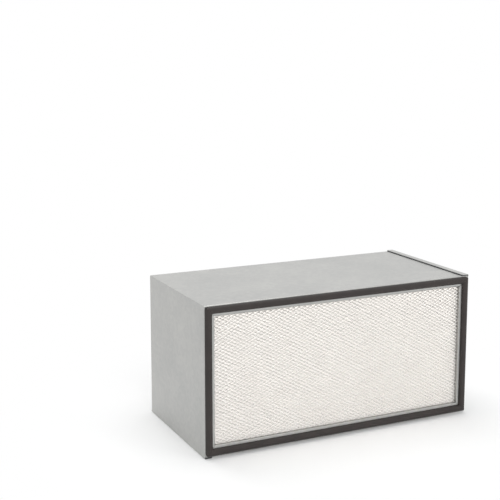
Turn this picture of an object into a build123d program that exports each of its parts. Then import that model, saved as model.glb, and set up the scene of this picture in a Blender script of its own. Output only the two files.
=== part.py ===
from build123d import *
from math import asin, atan2, cos, degrees, hypot, sin, sqrt
import os

# Boxed deep-pleat air filter, lying on its long side.
# X runs along the long side, -Y is the gasket face, +Z is up.
# The origin is the centre of the bounding box's bottom face. All sizes are in millimetres.

# Casing: overall sizes with the laps, from flange face to flange face in depth
CASE_WIDTH = 610.0
CASE_HEIGHT = 305.0
CASE_DEPTH = 292.0
SHEET = 1.0
BEND_RADIUS = 0.8
FLANGE_WIDTH = 22.0
RETURN_DEPTH = 6.0
LAP_WIDTH = 15.0
LAP_SEALANT = 1.5
LAP_SQUEEZE_OUT = 1.2
SEAM_CLEARANCE = 0.4
MITRE_GAP = 0.8
CORNER_BRIDGE = 4.0

# Gasket: endless half-round bead on the front flange
GASKET_WIDTH = 15.0
GASKET_HEIGHT = 7.0
GASKET_INSET = 1.8
GASKET_CORNER = 8.0

# Face guards: diamond mesh, long way of the diamond along X
MESH_LONG = 12.7
MESH_SHORT = 7.1
STRAND_WIDTH = 1.3
STRAND_THICKNESS = 0.9
STRAND_LAYER_GAP = 0.2
GUARD_BORDER = 19.5
GUARD_CLEARANCE = 1.5

# Pleated pack: one folded sheet, its folds along X
PLEAT_PITCH = 6.0
MEDIA_THICKNESS = 0.5
FOLD_RADIUS = 0.9
FOLD_FLATS = 2
PACK_TO_GUARD = 2.5
PACK_EDGE_SEALANT = 3.0

# End potting, cast on the two short walls against the sheet's edges
POTTING_THICKNESS = 10.0

# Spacer beads, set across the pleats at an even spacing
SPACER_LINES = 2
SPACER_WIDTH = 2.0
SPACER_SETBACK = 20.0
SPACER_TO_FOLD = 60.0

# Places that follow from the sizes above
HALF_WIDTH = CASE_WIDTH / 2
LAP_STEP = SHEET + LAP_SEALANT
FLOOR_Z = LAP_STEP
ROOF_Z = CASE_HEIGHT - LAP_STEP
FRONT_Y = GASKET_HEIGHT - (CASE_DEPTH + GASKET_HEIGHT) / 2
REAR_Y = FRONT_Y + CASE_DEPTH
OUTER_BEND = BEND_RADIUS + SHEET
INNER_X = HALF_WIDTH - SHEET
INNER_FLOOR_Z = FLOOR_Z + SHEET
INNER_ROOF_Z = ROOF_Z - SHEET
WINDOW_X = HALF_WIDTH - FLANGE_WIDTH
WINDOW_TOP_Z = ROOF_Z - FLANGE_WIDTH
GUARD_THICKNESS = 2 * STRAND_THICKNESS + STRAND_LAYER_GAP
GUARD_BACK_FRONT_Y = FRONT_Y + RETURN_DEPTH + GUARD_THICKNESS
GUARD_BACK_REAR_Y = REAR_Y - RETURN_DEPTH - GUARD_THICKNESS
PACK_FRONT_Y = GUARD_BACK_FRONT_Y + PACK_TO_GUARD
PACK_REAR_Y = GUARD_BACK_REAR_Y - PACK_TO_GUARD
PACK_HALF_WIDTH = INNER_X - POTTING_THICKNESS
GUARD_WIDTH = 2 * (INNER_X - GUARD_CLEARANCE)
GUARD_HEIGHT = INNER_ROOF_Z - INNER_FLOOR_Z - 2 * GUARD_CLEARANCE
OVERRUN = 10.0
FITTING = 0.05


def block(x0, x1, y0, y1, z0, z1):
    """A box between two corners."""
    size = Box(x1 - x0, y1 - y0, z1 - z0, align=(Align.MIN, Align.MIN, Align.MIN))
    return Pos(x0, y0, z0) * size


def prism(points, y0, y1):
    """A polygon of (x, z) points, drawn out from y0 to y1."""
    outline = Polyline([(x, y0, z) for x, z in points], close=True)
    return extrude(make_face(outline), amount=y1 - y0, dir=(0, 1, 0))


def turned_over(shape):
    """The same piece turned half a turn about the filter's depth axis."""
    centre = Axis((0, 0, CASE_HEIGHT / 2), (0, 1, 0))
    return shape.rotate(centre, 180)


def bent_block(x0, x1, y0, y1, z0, z1, radius):
    """A box whose left, top, front and rear sides meet in bends."""
    body = block(x0, x1, y0, y1, z0, z1)
    sides = ((Axis.X, x0), (Axis.Z, z1), (Axis.Y, y0), (Axis.Y, y1))

    def faces_met(edge):
        middle = edge.center()
        place = {Axis.X: middle.X, Axis.Y: middle.Y, Axis.Z: middle.Z}
        return sum(abs(place[axis] - value) < 1e-6 for axis, value in sides)

    bends = [edge for edge in body.edges() if faces_met(edge) == 2]
    return fillet(bends, radius)


# Casing


def folded_walls():
    """The left wall and the roof with their in-turned front and rear flanges, as one bent sheet."""
    right_end = INNER_X - SEAM_CLEARANCE
    outside = bent_block(-HALF_WIDTH, right_end, FRONT_Y, REAR_Y, FLOOR_Z, ROOF_Z, OUTER_BEND)
    inside = bent_block(
        -INNER_X,
        right_end + OVERRUN,
        FRONT_Y + SHEET,
        REAR_Y - SHEET,
        FLOOR_Z - OVERRUN,
        INNER_ROOF_Z,
        BEND_RADIUS,
    )
    window = block(
        -WINDOW_X - OUTER_BEND,
        right_end + OVERRUN,
        FRONT_Y - OVERRUN,
        REAR_Y + OVERRUN,
        FLOOR_Z - OVERRUN,
        WINDOW_TOP_Z + OUTER_BEND,
    )
    return outside - inside - window


def lip_section(flange_y, inward):
    """Section (u, y) of a flange's inner edge: from the flat flange round the bend to the return."""
    end = flange_y + inward * RETURN_DEPTH
    middle = flange_y + inward * OUTER_BEND
    slant = sqrt(0.5)
    outer_slant = (OUTER_BEND * (slant - 1), middle - inward * OUTER_BEND * slant)
    inner_slant = (BEND_RADIUS * slant - OUTER_BEND, middle - inward * BEND_RADIUS * slant)
    return [
        Line((-OUTER_BEND, flange_y), (-OUTER_BEND, flange_y + inward * SHEET)),
        ThreePointArc((-OUTER_BEND, flange_y + inward * SHEET), inner_slant, (-SHEET, middle)),
        Line((-SHEET, middle), (-SHEET, end)),
        Line((-SHEET, end), (0, end)),
        Line((0, end), (0, middle)),
        ThreePointArc((0, middle), outer_slant, (-OUTER_BEND, flange_y)),
    ]


def window_return(flange_y, inward):
    """The left and the upper return of one window, with the bends that carry them."""
    section = make_face(lip_section(flange_y, inward))
    upright = Plane(origin=(-WINDOW_X, 0, FLOOR_Z), x_dir=(1, 0, 0), z_dir=(0, 0, 1))
    level = Plane(origin=(-WINDOW_X - OUTER_BEND, 0, WINDOW_TOP_Z), x_dir=(0, 0, -1), z_dir=(1, 0, 0))
    left = extrude(upright * section, amount=WINDOW_TOP_Z - FLOOR_Z + OUTER_BEND)
    top = extrude(level * section, amount=INNER_X - SEAM_CLEARANCE + WINDOW_X + OUTER_BEND)
    diagonal = [
        (-WINDOW_X - OVERRUN, WINDOW_TOP_Z + OVERRUN),
        (-WINDOW_X + OVERRUN, WINDOW_TOP_Z - OVERRUN),
    ]
    ends = (FRONT_Y - OVERRUN, REAR_Y + OVERRUN)
    above = prism([*diagonal, (-WINDOW_X + OVERRUN, WINDOW_TOP_Z + OVERRUN)], *ends)
    below = prism([*diagonal, (-WINDOW_X - OVERRUN, WINDOW_TOP_Z - OVERRUN)], *ends)
    return (left - above) + (top - below)


def flange_mitres():
    """What the flanges lose at the two seam corners, so that the other half's flanges meet them."""
    offset = MITRE_GAP / sqrt(2)
    reach = FLANGE_WIDTH + OVERRUN
    low_x = SHEET - HALF_WIDTH
    at_floor = [
        (low_x, FLOOR_Z - OVERRUN),
        (low_x, FLOOR_Z + SHEET + offset),
        (reach - HALF_WIDTH, FLOOR_Z + reach + offset),
        (reach - HALF_WIDTH, FLOOR_Z - OVERRUN),
    ]
    at_roof = [
        (HALF_WIDTH - SHEET - offset, INNER_ROOF_Z),
        (HALF_WIDTH + OVERRUN, INNER_ROOF_Z),
        (HALF_WIDTH + OVERRUN, ROOF_Z - reach),
        (HALF_WIDTH - reach - offset, ROOF_Z - reach),
    ]
    ends = (FRONT_Y - OVERRUN, REAR_Y + OVERRUN)
    return prism(at_floor, *ends) + prism(at_roof, *ends)


def corner_slit():
    """The 45 degree slit that lets the flanges fold at the bent corner."""
    length = sqrt(2) * (FLANGE_WIDTH - CORNER_BRIDGE) + OVERRUN
    slit = Box(
        length, CASE_DEPTH + 2 * OVERRUN, MITRE_GAP, align=(Align.MIN, Align.CENTER, Align.CENTER)
    )
    start = Pos(CORNER_BRIDGE - HALF_WIDTH, (FRONT_Y + REAR_Y) / 2, ROOF_Z - CORNER_BRIDGE)
    return start * Rot(0, 45, 0) * slit


def floor_lap():
    """The left wall's foot, bent under the other half's panel as the lap of the seam."""
    top = FLOOR_Z + OUTER_BEND
    outside = block(-HALF_WIDTH, LAP_WIDTH - HALF_WIDTH, FRONT_Y, REAR_Y, 0, top)
    inside = block(-INNER_X, LAP_WIDTH, FRONT_Y, REAR_Y, SHEET, top)
    outer_bend = outside.edges().filter_by(Axis.Y).group_by(Axis.Z)[0].sort_by(Axis.X)[0]
    inner_bend = inside.edges().filter_by(Axis.Y).group_by(Axis.Z)[0].sort_by(Axis.X)[0]
    return fillet(outer_bend, OUTER_BEND) - fillet(inner_bend, BEND_RADIUS)


def casing_half():
    """One of the two alike halves: left wall, roof, four flanges and the lap under the floor."""
    sheet = folded_walls() + window_return(FRONT_Y, 1) + window_return(REAR_Y, -1)
    return sheet - flange_mitres() - corner_slit() + floor_lap()


def lap_sealant():
    """The film of sealant between the lap and the floor panel, squeezed out along the lap's edge."""
    return block(
        OUTER_BEND - HALF_WIDTH,
        LAP_WIDTH + LAP_SQUEEZE_OUT - HALF_WIDTH,
        FRONT_Y + BEND_RADIUS,
        REAR_Y - BEND_RADIUS,
        SHEET,
        FLOOR_Z,
    )


# Gasket


def gasket_run(across, along, start, length):
    """A straight half-round run from its outer corner: across its width, then along its length."""
    side = Vector(*across) * GASKET_WIDTH
    crown = side / 2 + Vector(0, -GASKET_HEIGHT, 0)
    flat = Line(start, start + side)
    arc = ThreePointArc(start, start + crown, start + side)
    return extrude(make_face([flat, arc]), amount=length, dir=along)


def gasket():
    """The half-round bead round the front flange: four mitred runs, rounded off at the corners."""
    left = GASKET_INSET - HALF_WIDTH
    foot = FLOOR_Z + GASKET_INSET
    top = ROOF_Z - GASKET_INSET
    corner = Vector(left, FRONT_Y, foot)
    lower = gasket_run((0, 0, 1), (1, 0, 0), corner, -2 * left)
    upright = gasket_run((1, 0, 0), (0, 0, 1), corner, top - foot)
    reach = GASKET_WIDTH + OVERRUN
    ends = (FRONT_Y - GASKET_HEIGHT - OVERRUN, FRONT_Y + OVERRUN)
    low_left = [(left - OVERRUN, foot - OVERRUN), (left + reach, foot + reach)]
    low_right = [(-left + OVERRUN, foot - OVERRUN), (-left - reach, foot + reach)]
    top_left = [(left - OVERRUN, top + OVERRUN), (left + reach, top - reach)]
    lower -= prism([*low_left, (left - OVERRUN, foot + reach)], *ends)
    lower -= prism([*low_right, (-left + OVERRUN, foot + reach)], *ends)
    upright -= prism([*low_left, (left + reach, foot - OVERRUN)], *ends)
    upright -= prism([*top_left, (left + reach, top + OVERRUN)], *ends)
    ring = lower + upright + turned_over(lower) + turned_over(upright)
    outline = RectangleRounded(-2 * left + FITTING, top - foot + FITTING, GASKET_CORNER)
    front = Plane(origin=(0, FRONT_Y, CASE_HEIGHT / 2), x_dir=(1, 0, 0), z_dir=(0, -1, 0))
    return ring & extrude(front * outline, amount=GASKET_HEIGHT + OVERRUN)


# Face guards


def guard_opening():
    """The meshed field inside the guard's plain border."""
    return Rectangle(GUARD_WIDTH - 2 * GUARD_BORDER, GUARD_HEIGHT - 2 * GUARD_BORDER)


def strand_layer(lean):
    """One flat layer of the mesh: the border with every strand that leans one way."""
    angle = atan2(MESH_SHORT, MESH_LONG)
    spacing = MESH_SHORT * cos(angle)
    length = GUARD_WIDTH + GUARD_HEIGHT
    half_count = int((GUARD_WIDTH * sin(angle) + GUARD_HEIGHT * cos(angle)) / (2 * spacing))
    gaps = Sketch() + [
        Rot(0, 0, lean * degrees(angle))
        * Pos(0, (index + 0.5) * spacing)
        * Rectangle(length, spacing - STRAND_WIDTH)
        for index in range(-half_count - 1, half_count + 1)
    ]
    return Rectangle(GUARD_WIDTH, GUARD_HEIGHT) - (gaps & guard_opening())


def face_guard(front_y):
    """A mesh guard with its front face at front_y: two layers of strands in one border."""
    border = Rectangle(GUARD_WIDTH, GUARD_HEIGHT) - guard_opening()
    front = extrude(strand_layer(1), amount=STRAND_THICKNESS)
    joint = Pos(0, 0, STRAND_THICKNESS) * extrude(border, amount=STRAND_LAYER_GAP)
    back_start = STRAND_THICKNESS + STRAND_LAYER_GAP
    back = Pos(0, 0, back_start) * extrude(strand_layer(-1), amount=STRAND_THICKNESS)
    place = Plane(origin=(0, front_y, CASE_HEIGHT / 2), x_dir=(1, 0, 0), z_dir=(0, 1, 0))
    return place * (front + joint + back)


# Pleated pack


def pack_floor_z():
    """Underside of the pack's lowest panel."""
    return INNER_FLOOR_Z + PACK_EDGE_SEALANT


def pack_roof_z():
    """Upper side of the pack's highest panel."""
    return INNER_ROOF_Z - PACK_EDGE_SEALANT


def fold_centres():
    """Centres of the rear folds and of the front folds, as (y, z), from the floor up."""
    reach = FOLD_RADIUS + MEDIA_THICKNESS / 2
    low = pack_floor_z() + reach
    high = pack_roof_z() - reach
    count = round((high - low) / PLEAT_PITCH)
    pitch = (high - low) / count
    rear = [(PACK_REAR_Y - reach, low + index * pitch) for index in range(count + 1)]
    front = [(PACK_FRONT_Y + reach, low + (index + 0.5) * pitch) for index in range(count)]
    return rear, front


def wall_normal(lower, upper):
    """Unit vector across the wall between two folds, pointing up, as (y, z)."""
    along = upper[0] - lower[0]
    rise = upper[1] - lower[1]
    slope = atan2(rise, abs(along)) - asin(2 * FOLD_RADIUS / hypot(along, rise))
    side = 1 if along > 0 else -1
    return -side * sin(slope), cos(slope)


def folds_in_order():
    """Every fold from the floor up: centre, wall normals before and after it, +1 if it is a rear fold."""
    rear, front = fold_centres()
    centres = [rear[0]]
    for front_fold, rear_fold in zip(front, rear[1:]):
        centres += [front_fold, rear_fold]
    level = (0.0, 1.0)
    normals = [level] + [wall_normal(low, up) for low, up in zip(centres, centres[1:])] + [level]
    return [
        (centre, normals[index], normals[index + 1], 1 if index % 2 == 0 else -1)
        for index, centre in enumerate(centres)
    ]


def fold_corners(fold, offset):
    """The corners, from the lower wall to the upper one, of a fold in a surface of the sheet."""
    (y, z), before, after, outward = fold
    radius = FOLD_RADIUS - outward * offset
    first = atan2(-before[1], -outward * before[0])
    last = atan2(after[1], outward * after[0])
    angles = [first + (last - first) * step / FOLD_FLATS for step in range(FOLD_FLATS + 1)]
    return [(y + outward * radius * cos(angle), z + radius * sin(angle)) for angle in angles]


def sheet_surface(offset):
    """The corners of one surface of the folded sheet, offset from the sheet's middle."""
    corners = [corner for fold in folds_in_order() for corner in fold_corners(fold, offset)]
    return [(PACK_FRONT_Y, corners[0][1]), *corners, (PACK_FRONT_Y, corners[-1][1])]


def pleated_sheet():
    """The filter paper, folded to and fro as one sheet from the floor to the roof."""
    above = sheet_surface(MEDIA_THICKNESS / 2)
    below = sheet_surface(-MEDIA_THICKNESS / 2)
    outline = [(-PACK_HALF_WIDTH, y, z) for y, z in above + below[::-1]]
    section = make_face(Polyline(outline, close=True))
    return extrude(section, amount=2 * PACK_HALF_WIDTH, dir=(1, 0, 0))


def spacer_beads(open_side):
    """The beads in the channels that open to the front (1) or to the rear (-1)."""
    pack_end = {1: PACK_FRONT_Y, -1: PACK_REAR_Y}
    mouth = pack_end[open_side] + open_side * SPACER_SETBACK
    deep = pack_end[-open_side] - open_side * SPACER_TO_FOLD
    gap = 2 * PACK_HALF_WIDTH / (SPACER_LINES + 1)
    beads = []
    for fold in folds_in_order():
        _, before, after, outward = fold
        if outward != open_side:
            continue
        walls = fold_corners(fold, outward * MEDIA_THICKNESS / 2)

        def on_wall(corner, normal, y):
            return y, corner[1] - (y - corner[0]) * normal[0] / normal[1]

        corners = [
            on_wall(walls[0], before, mouth),
            on_wall(walls[0], before, deep),
            on_wall(walls[-1], after, deep),
            on_wall(walls[-1], after, mouth),
        ]
        section = make_face(Polyline([(0, y, z) for y, z in corners], close=True))
        bead = extrude(section, amount=SPACER_WIDTH / 2, dir=(1, 0, 0), both=True)
        for line in range(SPACER_LINES):
            beads.append(Pos(gap * (line + 1) - PACK_HALF_WIDTH, 0, 0) * bead)
    return Compound(children=beads)


# Seals of the pack


def end_potting():
    """The left wall's layer of cast resin, into which the pack's end is set."""
    slab = block(
        -INNER_X,
        POTTING_THICKNESS - INNER_X,
        GUARD_BACK_FRONT_Y,
        GUARD_BACK_REAR_Y,
        INNER_FLOOR_Z,
        INNER_ROOF_Z,
    )
    outer_edges = slab.edges().filter_by(Axis.Y).group_by(Axis.X)[0]
    return fillet(outer_edges, BEND_RADIUS)


def pack_sealant():
    """The layer of sealant between the floor panel and the pack's lowest panel."""
    return block(
        -PACK_HALF_WIDTH,
        PACK_HALF_WIDTH,
        GUARD_BACK_FRONT_Y,
        GUARD_BACK_REAR_Y,
        INNER_FLOOR_Z,
        pack_floor_z(),
    )


def build():
    """Every node of the filter by name."""
    half = casing_half()
    lap_film = lap_sealant()
    potting = end_potting()
    floor_film = pack_sealant()
    return {
        "casing_left_half": half,
        "casing_right_half": turned_over(half),
        "lap_sealant_floor": lap_film,
        "lap_sealant_roof": turned_over(lap_film),
        "gasket": gasket(),
        "front_guard": face_guard(FRONT_Y + RETURN_DEPTH),
        "rear_guard": face_guard(GUARD_BACK_REAR_Y),
        "pleated_sheet": pleated_sheet(),
        "front_spacer_beads": spacer_beads(1),
        "rear_spacer_beads": spacer_beads(-1),
        "left_end_potting": potting,
        "right_end_potting": turned_over(potting),
        "floor_pack_sealant": floor_film,
        "roof_pack_sealant": turned_over(floor_film),
    }


os.makedirs("parts", exist_ok=True)
for name, shape in build().items():
    export_step(shape, f"parts/{name}.step")
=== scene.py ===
from math import cos, pi, radians, sin

import bmesh
import bpy
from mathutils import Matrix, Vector


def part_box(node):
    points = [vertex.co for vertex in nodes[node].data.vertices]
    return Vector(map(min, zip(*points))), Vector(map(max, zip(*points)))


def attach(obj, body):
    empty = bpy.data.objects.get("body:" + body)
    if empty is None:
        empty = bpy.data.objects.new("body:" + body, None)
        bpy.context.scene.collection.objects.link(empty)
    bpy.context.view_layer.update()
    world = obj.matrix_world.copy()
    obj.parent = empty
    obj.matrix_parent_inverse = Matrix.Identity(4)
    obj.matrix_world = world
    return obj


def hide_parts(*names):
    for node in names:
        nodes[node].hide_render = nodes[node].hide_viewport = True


# A half-height box filter: a galvanised casing with a dark foam gasket round its front, and a
# deep-pleated paper pack between two white expanded metal guards. Metres; +X right, -Y the
# gasket face, +Z up.

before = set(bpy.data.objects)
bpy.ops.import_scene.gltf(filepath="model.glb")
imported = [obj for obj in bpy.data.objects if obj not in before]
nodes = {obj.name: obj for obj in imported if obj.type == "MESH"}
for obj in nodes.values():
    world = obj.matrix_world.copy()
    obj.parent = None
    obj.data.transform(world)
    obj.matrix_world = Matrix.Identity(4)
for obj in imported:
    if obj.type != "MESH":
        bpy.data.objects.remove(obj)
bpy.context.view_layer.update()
scene = bpy.context.scene
MM = 0.001

# Guards, millimetres: the mesh from bond to bond, its bonds, its strands and its sheet
MESH_LONG = 12.7
MESH_SHORT = 7.1
BOND_LENGTH = 3.2
STRAND_WIDTH = 1.45
STRAND_TILT = radians(26)
GUARD_SHEET = 0.7
# Cells of mesh that are made beyond a guard's edges and cut off
SPARE_CELLS = 3

# Pack, millimetres: the paper, its folds and the beads of hot melt between its walls
PLEAT_PITCH = 2.8
PAPER = 0.45
PAPER_IN_RESIN = 3.0
FOLD_STEPS = 6
SMOOTH_UNDER = radians(40)
BEAD_SPACING = 25.4
BEAD_WIDTH = 1.6
BEAD_SIDES = 6

# Points of a mesh that are closer than this become one, millimetres
WELD = 0.02

# Stage, metres: the floor is pale paint up to one distance and white ground from another
FLOOR_SIZE = 30
PAINT_TO = 0.24
WHITE_FROM = 0.66
FILTER_MIDDLE = (0, 0, 0.15)
FILTER_TOP = (0, 0, 0.3)

# Camera, found from the filter's corners in the photo: 25.5 degrees to the left of the gasket
# face and 8.72 above the level; sensor and lens in millimetres
CAMERA_PLACE = (-1.0561, -1.9193, 0.800)
CAMERA_TURN = (radians(90 - 8.72), 0, radians(-25.5))
SENSOR_WIDTH = 36.0
LENS = 76.0
FRAMING_SHIFT = -0.1


# Colours and material nodes


def linear(hex_colour):
    """An sRGB hex colour as linear red, green, blue and alpha."""
    channels = [int(hex_colour[i:i + 2], 16) / 255 for i in (1, 3, 5)]
    return [c / 12.92 if c <= 0.04045 else ((c + 0.055) / 1.055) ** 2.4 for c in channels] + [1.0]


def add_node(tree, kind, settings=(), values=(), links=(), stops=()):
    """One shader node: its settings, its sockets' values, the outputs linked into it, and the
    (position, hex colour) stops of a ramp."""
    node = tree.nodes.new(kind)
    for name, value in dict(settings).items():
        setattr(node, name, value)
    for socket, value in dict(values).items():
        node.inputs[socket].default_value = value
    for socket, source in dict(links).items():
        tree.links.new(source, node.inputs[socket])
    if stops:
        elements = node.color_ramp.elements
        for element, (position, colour) in zip(elements, (stops[0], stops[-1])):
            element.position = position
            element.color = linear(colour)
        for position, colour in stops[1:-1]:
            elements.new(position).color = linear(colour)
    return node


def new_material(name):
    """An empty material, its node tree and its object coordinates."""
    material = bpy.data.materials.new(name)
    material.use_nodes = True
    tree = material.node_tree
    tree.nodes.clear()
    place = add_node(tree, "ShaderNodeTexCoord").outputs["Object"]
    return material, tree, place


def finish_material(tree, shader):
    """Links a shader to the material's surface."""
    add_node(tree, "ShaderNodeOutputMaterial", links={"Surface": shader.outputs[0]})


def per_metre(millimetres):
    """The scale at which a texture's features are that size."""
    return 1000.0 / millimetres


def galvanised_sheet():
    """Hot-dip galvanised steel: dull zinc whose faint crystals differ in tone and in gloss."""
    material, tree, place = new_material("galvanised_steel_sheet")
    crystals = add_node(
        tree,
        "ShaderNodeTexVoronoi",
        values={"Scale": per_metre(7), "Randomness": 1.0},
        links={"Vector": place},
    )
    tone = add_node(tree, "ShaderNodeSeparateColor", links={"Color": crystals.outputs["Color"]})
    # Zinc that was wiped off unevenly leaves soft clouds about a hand wide
    clouds = add_node(
        tree,
        "ShaderNodeTexNoise",
        values={"Scale": per_metre(90), "Detail": 3.0},
        links={"Vector": place},
    )
    mixed = add_node(
        tree,
        "ShaderNodeMath",
        {"operation": "MULTIPLY_ADD"},
        {1: 0.35},
        {0: tone.outputs["Red"], 2: clouds.outputs["Fac"]},
    ).outputs[0]
    colour = add_node(
        tree,
        "ShaderNodeValToRGB",
        links={"Fac": mixed},
        stops=[(0.30, "#adaeac"), (0.65, "#b5b5b3"), (1.0, "#bdbdba")],
    )
    gloss = add_node(
        tree, "ShaderNodeMapRange", values={"To Min": 0.34, "To Max": 0.42}, links={"Value": mixed}
    )
    shader = add_node(
        tree,
        "ShaderNodeBsdfPrincipled",
        values={"Metallic": 1.0},
        links={"Base Color": colour.outputs["Color"], "Roughness": gloss.outputs["Result"]},
    )
    finish_material(tree, shader)
    return material


def foam_gasket():
    """Foamed polyurethane with a closed skin: dark, softly shining, finely uneven."""
    material, tree, place = new_material("foamed_polyurethane_skin")
    # The skin's pores are finer than a render shows, so they are drawn 1.6 mm wide
    pores = add_node(
        tree,
        "ShaderNodeTexNoise",
        values={"Scale": per_metre(1.6), "Detail": 3.0},
        links={"Vector": place},
    ).outputs["Fac"]
    waves = add_node(
        tree,
        "ShaderNodeTexNoise",
        values={"Scale": per_metre(28), "Detail": 2.0},
        links={"Vector": place},
    )
    colour = add_node(
        tree,
        "ShaderNodeValToRGB",
        links={"Fac": waves.outputs["Fac"]},
        stops=[(0.3, "#221d1b"), (0.7, "#292321")],
    )
    relief = add_node(
        tree,
        "ShaderNodeBump",
        values={"Strength": 0.25, "Distance": 0.0003},
        links={"Height": pores},
    )
    gloss = add_node(
        tree, "ShaderNodeMapRange", values={"To Min": 0.50, "To Max": 0.62}, links={"Value": pores}
    )
    shader = add_node(
        tree,
        "ShaderNodeBsdfPrincipled",
        links={
            "Base Color": colour.outputs["Color"],
            "Roughness": gloss.outputs["Result"],
            "Normal": relief.outputs["Normal"],
        },
    )
    finish_material(tree, shader)
    return material


def guard_enamel():
    """White powder coat on the expanded metal: even, half glossy, a little uneven in thickness."""
    material, tree, place = new_material("white_powder_coat")
    patches = add_node(
        tree,
        "ShaderNodeTexNoise",
        values={"Scale": per_metre(40), "Detail": 2.0},
        links={"Vector": place},
    ).outputs["Fac"]
    colour = add_node(
        tree,
        "ShaderNodeValToRGB",
        links={"Fac": patches},
        stops=[(0.3, "#ede8e3"), (0.7, "#f1ede8")],
    )
    gloss = add_node(
        tree,
        "ShaderNodeMapRange",
        values={"To Min": 0.40, "To Max": 0.50},
        links={"Value": patches},
    )
    shader = add_node(
        tree,
        "ShaderNodeBsdfPrincipled",
        links={"Base Color": colour.outputs["Color"], "Roughness": gloss.outputs["Result"]},
    )
    finish_material(tree, shader)
    return material


def glass_paper():
    """Wet-laid glass-fibre paper: matt white with the cloudy look of its fibres."""
    material, tree, place = new_material("glass_fibre_paper")
    # Single fibres are far too fine to show, so only the clouds they settle in are drawn
    fibres = add_node(
        tree,
        "ShaderNodeTexNoise",
        values={"Scale": per_metre(6), "Detail": 5.0},
        links={"Vector": place},
    ).outputs["Fac"]
    colour = add_node(
        tree,
        "ShaderNodeValToRGB",
        links={"Fac": fibres},
        stops=[(0.3, "#faf7f4"), (0.7, "#fdfbf8")],
    )
    relief = add_node(
        tree,
        "ShaderNodeBump",
        values={"Strength": 0.3, "Distance": 0.0002},
        links={"Height": fibres},
    )
    shader = add_node(
        tree,
        "ShaderNodeBsdfPrincipled",
        values={"Roughness": 0.9},
        links={"Base Color": colour.outputs["Color"], "Normal": relief.outputs["Normal"]},
    )
    finish_material(tree, shader)
    return material


def plain_resin(name, dark, light, roughness):
    """A cast or drawn plastic whose tone drifts slowly, as it does where it was poured or laid."""
    material, tree, place = new_material(name)
    drift = add_node(
        tree,
        "ShaderNodeTexNoise",
        values={"Scale": per_metre(25), "Detail": 2.0},
        links={"Vector": place},
    )
    colour = add_node(
        tree,
        "ShaderNodeValToRGB",
        links={"Fac": drift.outputs["Fac"]},
        stops=[(0.3, dark), (0.7, light)],
    )
    shader = add_node(
        tree,
        "ShaderNodeBsdfPrincipled",
        values={"Roughness": roughness},
        links={"Base Color": colour.outputs["Color"]},
    )
    finish_material(tree, shader)
    return material


def cover(obj, material):
    """Gives an object one material all over."""
    obj.data.materials.clear()
    obj.data.materials.append(material)


# Modelling by hand, in code


def deselect():
    """Leaves no object selected, so that an operator acts only on what is added next."""
    for obj in bpy.context.selected_objects:
        obj.select_set(False)


def start_piece(name, add_primitive, **settings):
    """A named primitive, selected all over and in edit mode."""
    deselect()
    add_primitive(**settings)
    piece = bpy.context.object
    piece.name = name
    bpy.ops.object.mode_set(mode="EDIT")
    return piece


def select_edges(obj, test):
    """In edit mode, selects only the edges whose middle passes the test."""
    mesh = bmesh.from_edit_mesh(obj.data)
    mesh.select_mode = {"EDGE"}
    for edge in mesh.edges:
        edge.select = False
    for edge in mesh.edges:
        if test((edge.verts[0].co + edge.verts[1].co) / 2):
            edge.select = True
    mesh.select_flush_mode()
    bmesh.update_edit_mesh(obj.data)


def face_outwards():
    """In edit mode, turns all faces the same way out, and leaves edit mode."""
    bpy.ops.mesh.select_all(action="SELECT")
    bpy.ops.mesh.normals_make_consistent(inside=False)
    bpy.ops.object.mode_set(mode="OBJECT")


def apply_modifier(obj, kind, **settings):
    """Adds a modifier with its settings and applies it."""
    modifier = obj.modifiers.new(kind.lower(), kind)
    for name, value in settings.items():
        setattr(modifier, name, value)
    bpy.ops.object.modifier_apply(modifier=modifier.name)


def repeat(obj, count, step, **settings):
    """Repeats an object at a constant step."""
    apply_modifier(
        obj,
        "ARRAY",
        count=count,
        use_relative_offset=False,
        use_constant_offset=True,
        constant_offset_displace=step,
        **settings,
    )


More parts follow.
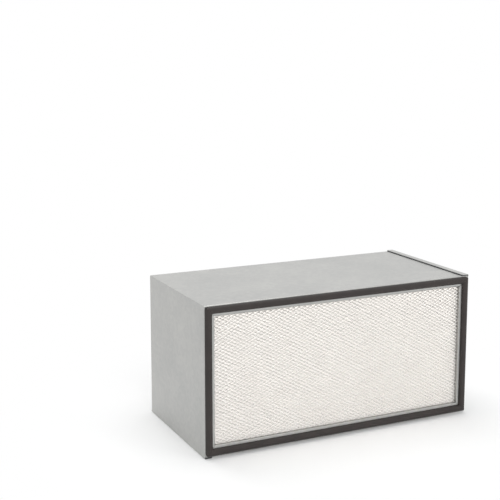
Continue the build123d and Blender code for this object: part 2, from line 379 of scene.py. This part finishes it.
def expanded_sheet(name, node):
    """A guard as the real one is: one sheet, slit and stretched into tilted strands and bonds."""
    low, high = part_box(node)
    rise = STRAND_WIDTH * cos(STRAND_TILT) * MM
    depth = STRAND_WIDTH * sin(STRAND_TILT) * MM
    half_long = MESH_LONG / 2 * MM
    half_short = MESH_SHORT / 2 * MM
    bond = BOND_LENGTH * MM

    # One bond: a strip of two rows, stood up and tilted about the long way of the mesh
    sheet = start_piece(
        name, bpy.ops.mesh.primitive_grid_add, x_subdivisions=1, y_subdivisions=2, size=1
    )
    bpy.ops.transform.resize(value=(bond, 2 * STRAND_WIDTH * MM, 1))
    bpy.ops.transform.rotate(
        value=-(radians(90) + STRAND_TILT), orient_axis="X", center_override=(0, 0, 0)
    )
    # Its upper row's ends are drawn out to the two bonds above, as the strands of the mesh
    for side in (1, -1):
        select_edges(sheet, lambda m: m.x * side > bond / 4 and m.z > 0)
        bpy.ops.mesh.extrude_edges_move(
            TRANSFORM_OT_translate={"value": (side * (half_long - bond), depth, half_short - rise)}
        )
    bpy.ops.mesh.select_all(action="SELECT")
    bpy.ops.mesh.duplicate_move(TRANSFORM_OT_translate={"value": (half_long, 0, half_short)})

    # Repeated past the guard's edges, and moved so that the mesh lies evenly between them
    bpy.ops.mesh.select_all(action="SELECT")
    columns = int((high.x - low.x) / (2 * half_long)) + SPARE_CELLS
    rows = int((high.z - low.z) / (2 * half_short)) + SPARE_CELLS
    centre = Vector(((low.x + high.x) / 2, (low.y + high.y) / 2, (low.z + high.z) / 2))
    start = centre - Vector(((columns - 0.5) * half_long, 0, rows * half_short))
    bpy.ops.transform.translate(value=start)
    bpy.ops.object.mode_set(mode="OBJECT")
    repeat(sheet, columns, (2 * half_long, 0, 0))
    repeat(sheet, rows, (0, 0, 2 * half_short))

    # Joined into one sheet, cut to the guard's size and given its thickness
    bpy.ops.object.mode_set(mode="EDIT")
    bpy.ops.mesh.select_all(action="SELECT")
    bpy.ops.mesh.remove_doubles(threshold=WELD * MM)
    for corner, outward in (
        (low, (-1, 0, 0)),
        (low, (0, 0, -1)),
        (high, (1, 0, 0)),
        (high, (0, 0, 1)),
    ):
        bpy.ops.mesh.select_all(action="SELECT")
        bpy.ops.mesh.bisect(plane_co=corner, plane_no=outward, clear_outer=True)
    face_outwards()
    apply_modifier(sheet, "SOLIDIFY", thickness=GUARD_SHEET * MM, offset=0.0, use_even_offset=False)
    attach(sheet, "root")
    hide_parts(node)
    return sheet


def pleat_rows(node):
    """The number of pleats in the pack, and the height of its first wall."""
    low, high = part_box(node)
    pitch = PLEAT_PITCH * MM
    count = int((high.z - low.z - PAPER * MM) / pitch)
    return count, (low.z + high.z - count * pitch) / 2


def folded_paper(name, node):
    """The filter paper as one sheet: level walls that half-round folds join in front and behind."""
    low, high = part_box(node)
    count, first = pleat_rows(node)
    radius = PLEAT_PITCH / 4 * MM
    front = low.y + radius + PAPER / 2 * MM
    rear = high.y - radius - PAPER / 2 * MM
    width = high.x - low.x + 2 * PAPER_IN_RESIN * MM

    # One pleat: a wall, its front fold, the wall above and that wall's rear fold
    sheet = start_piece(name, bpy.ops.mesh.primitive_plane_add, size=1)
    bpy.ops.transform.resize(value=(width, rear - front, 1))
    bpy.ops.transform.translate(value=(0, (front + rear) / 2, first))
    select_edges(sheet, lambda m: m.y < front + radius)
    bpy.ops.mesh.spin(
        steps=FOLD_STEPS, angle=-pi, center=(0, front, first + radius), axis=(1, 0, 0)
    )
    bpy.ops.mesh.extrude_edges_move(TRANSFORM_OT_translate={"value": (0, rear - front, 0)})
    bpy.ops.mesh.spin(
        steps=FOLD_STEPS, angle=pi, center=(0, rear, first + 3 * radius), axis=(1, 0, 0)
    )
    bpy.ops.object.mode_set(mode="OBJECT")
    repeat(
        sheet,
        count,
        (0, 0, PLEAT_PITCH * MM),
        use_merge_vertices=True,
        merge_threshold=WELD * MM,
    )
    bpy.ops.object.mode_set(mode="EDIT")
    face_outwards()
    apply_modifier(sheet, "SOLIDIFY", thickness=PAPER * MM, offset=0.0, use_even_offset=True)
    bpy.ops.object.shade_smooth_by_angle(angle=SMOOTH_UNDER)
    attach(sheet, "root")
    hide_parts(node)
    return sheet


def spacer_lines(name, node, pack, walls_up):
    """Drawn beads of hot melt that hold the walls apart, in lines across the pleats."""
    low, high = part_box(node)
    pack_low, pack_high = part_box(pack)
    count, first = pleat_rows(pack)
    gap = PLEAT_PITCH / 2 * MM
    lines = int((pack_high.x - pack_low.x) / (BEAD_SPACING * MM))
    left = -(lines - 1) / 2 * BEAD_SPACING * MM
    bead = start_piece(
        name, bpy.ops.mesh.primitive_cylinder_add, vertices=BEAD_SIDES, radius=0.5, depth=1
    )
    bpy.ops.transform.rotate(value=radians(90), orient_axis="X", center_override=(0, 0, 0))
    bpy.ops.transform.resize(value=(BEAD_WIDTH * MM, high.y - low.y, gap))
    bpy.ops.transform.translate(
        value=(left, (low.y + high.y) / 2, first + (walls_up + 0.5) * gap)
    )
    bpy.ops.object.mode_set(mode="OBJECT")
    repeat(bead, lines, (BEAD_SPACING * MM, 0, 0))
    repeat(bead, count, (0, 0, PLEAT_PITCH * MM))
    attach(bead, "root")
    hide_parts(node)
    return bead


# Pieces


enamel = guard_enamel()
for node in ("front_guard", "rear_guard"):
    cover(expanded_sheet(node + "_mesh", node), enamel)

cover(folded_paper("pleated_paper", "pleated_sheet"), glass_paper())

hot_melt = plain_resin("hot_melt_bead", "#e9e6da", "#f1efe6", 0.4)
cover(spacer_lines("front_spacer_lines", "front_spacer_beads", "pleated_sheet", 1), hot_melt)
cover(spacer_lines("rear_spacer_lines", "rear_spacer_beads", "pleated_sheet", 0), hot_melt)

zinc = galvanised_sheet()
potting = plain_resin("polyurethane_potting", "#d6cdb4", "#e0d8c2", 0.45)
# The lap sealant is near black. That is partly the dark grey of the real sealant and partly painted
# shade, standing for the shadowed slit under the lap's edge.
lap_sealant_and_painted_shade = plain_resin("polyurethane_sealant_and_painted_shade", "#26272a", "#303134", 0.5)
for node, material in (
    ("casing_left_half", zinc),
    ("casing_right_half", zinc),
    ("gasket", foam_gasket()),
    ("left_end_potting", potting),
    ("right_end_potting", potting),
    ("floor_pack_sealant", potting),
    ("roof_pack_sealant", potting),
    ("lap_sealant_floor", lap_sealant_and_painted_shade),
    ("lap_sealant_roof", lap_sealant_and_painted_shade),
):
    cover(nodes[node], material)


# Stage: floor, world, lamps and camera


def rays_that_look(tree):
    """1 for rays from the camera, a reflection or a clear body, and 0 for rays that only light."""
    rays = add_node(tree, "ShaderNodeLightPath").outputs
    seen = rays["Is Camera Ray"]
    for kind in ("Is Glossy Ray", "Is Transmission Ray"):
        seen = add_node(
            tree, "ShaderNodeMath", {"operation": "MAXIMUM"}, links={0: seen, 1: rays[kind]}
        ).outputs[0]
    return seen


def floor_material():
    """A pale floor that keeps the shadow near the filter and turns into white ground beyond it."""
    material, tree, place = new_material("pale_floor")
    distance = add_node(tree, "ShaderNodeVectorMath", {"operation": "LENGTH"}, links={0: place})
    fade = add_node(
        tree,
        "ShaderNodeMapRange",
        {"interpolation_type": "SMOOTHSTEP"},
        {"From Min": PAINT_TO, "From Max": WHITE_FROM},
        {"Value": distance.outputs["Value"]},
    )
    share = add_node(
        tree,
        "ShaderNodeMath",
        {"operation": "MULTIPLY"},
        links={0: fade.outputs["Result"], 1: rays_that_look(tree)},
    )
    paint = add_node(tree, "ShaderNodeBsdfDiffuse", values={"Color": linear("#fafaf9")})
    white = add_node(
        tree, "ShaderNodeEmission", values={"Color": linear("#ffffff"), "Strength": 1.0}
    )
    shader = add_node(
        tree,
        "ShaderNodeMixShader",
        links={0: share.outputs[0], 1: paint.outputs[0], 2: white.outputs[0]},
    )
    finish_material(tree, shader)
    return material


def studio_world():
    """A soft grey room that lights the filter, and a white one that is seen round it."""
    world = bpy.data.worlds.new("studio")
    world.use_nodes = True
    tree = world.node_tree
    tree.nodes.clear()
    room = add_node(
        tree, "ShaderNodeBackground", values={"Color": linear("#f2f4f7"), "Strength": 0.45}
    )
    white = add_node(
        tree, "ShaderNodeBackground", values={"Color": linear("#ffffff"), "Strength": 1.0}
    )
    sky = add_node(
        tree,
        "ShaderNodeMixShader",
        links={0: rays_that_look(tree), 1: room.outputs[0], 2: white.outputs[0]},
    )
    add_node(tree, "ShaderNodeOutputWorld", links={"Surface": sky.outputs[0]})
    return world


def soft_box(name, place, aim, size, power, mirrored=False):
    """A square studio lamp that faces a point, and is seen in shining surfaces only if mirrored."""
    lamp = bpy.data.lights.new(name, "AREA")
    lamp.size = size
    lamp.energy = power
    obj = bpy.data.objects.new(name, lamp)
    scene.collection.objects.link(obj)
    obj.location = place
    obj.rotation_euler = (Vector(aim) - Vector(place)).to_track_quat("-Z", "Y").to_euler()
    obj.visible_glossy = mirrored


deselect()
bpy.ops.mesh.primitive_plane_add(size=FLOOR_SIZE)
floor = bpy.context.object
floor.name = "floor"
cover(floor, floor_material())

scene.world = studio_world()

soft_box("key_lamp", (-0.6, -3.0, 1.1), FILTER_MIDDLE, 2.0, 53)
soft_box("fill_lamp", (1.8, -2.6, 0.9), FILTER_MIDDLE, 1.6, 28)
soft_box("back_lamp", (-0.6, 3.0, 1.3), FILTER_MIDDLE, 2.0, 45)
soft_box("top_lamp", (0, 0.3, 3.2), FILTER_TOP, 2.4, 42, mirrored=True)

camera_data = bpy.data.cameras.new("camera")
camera_data.sensor_width = SENSOR_WIDTH
camera_data.lens = LENS
camera_data.shift_y = FRAMING_SHIFT
camera = bpy.data.objects.new("camera", camera_data)
scene.collection.objects.link(camera)
camera.location = CAMERA_PLACE
camera.rotation_euler = CAMERA_TURN
scene.camera = camera
scene.view_settings.view_transform = "Standard"
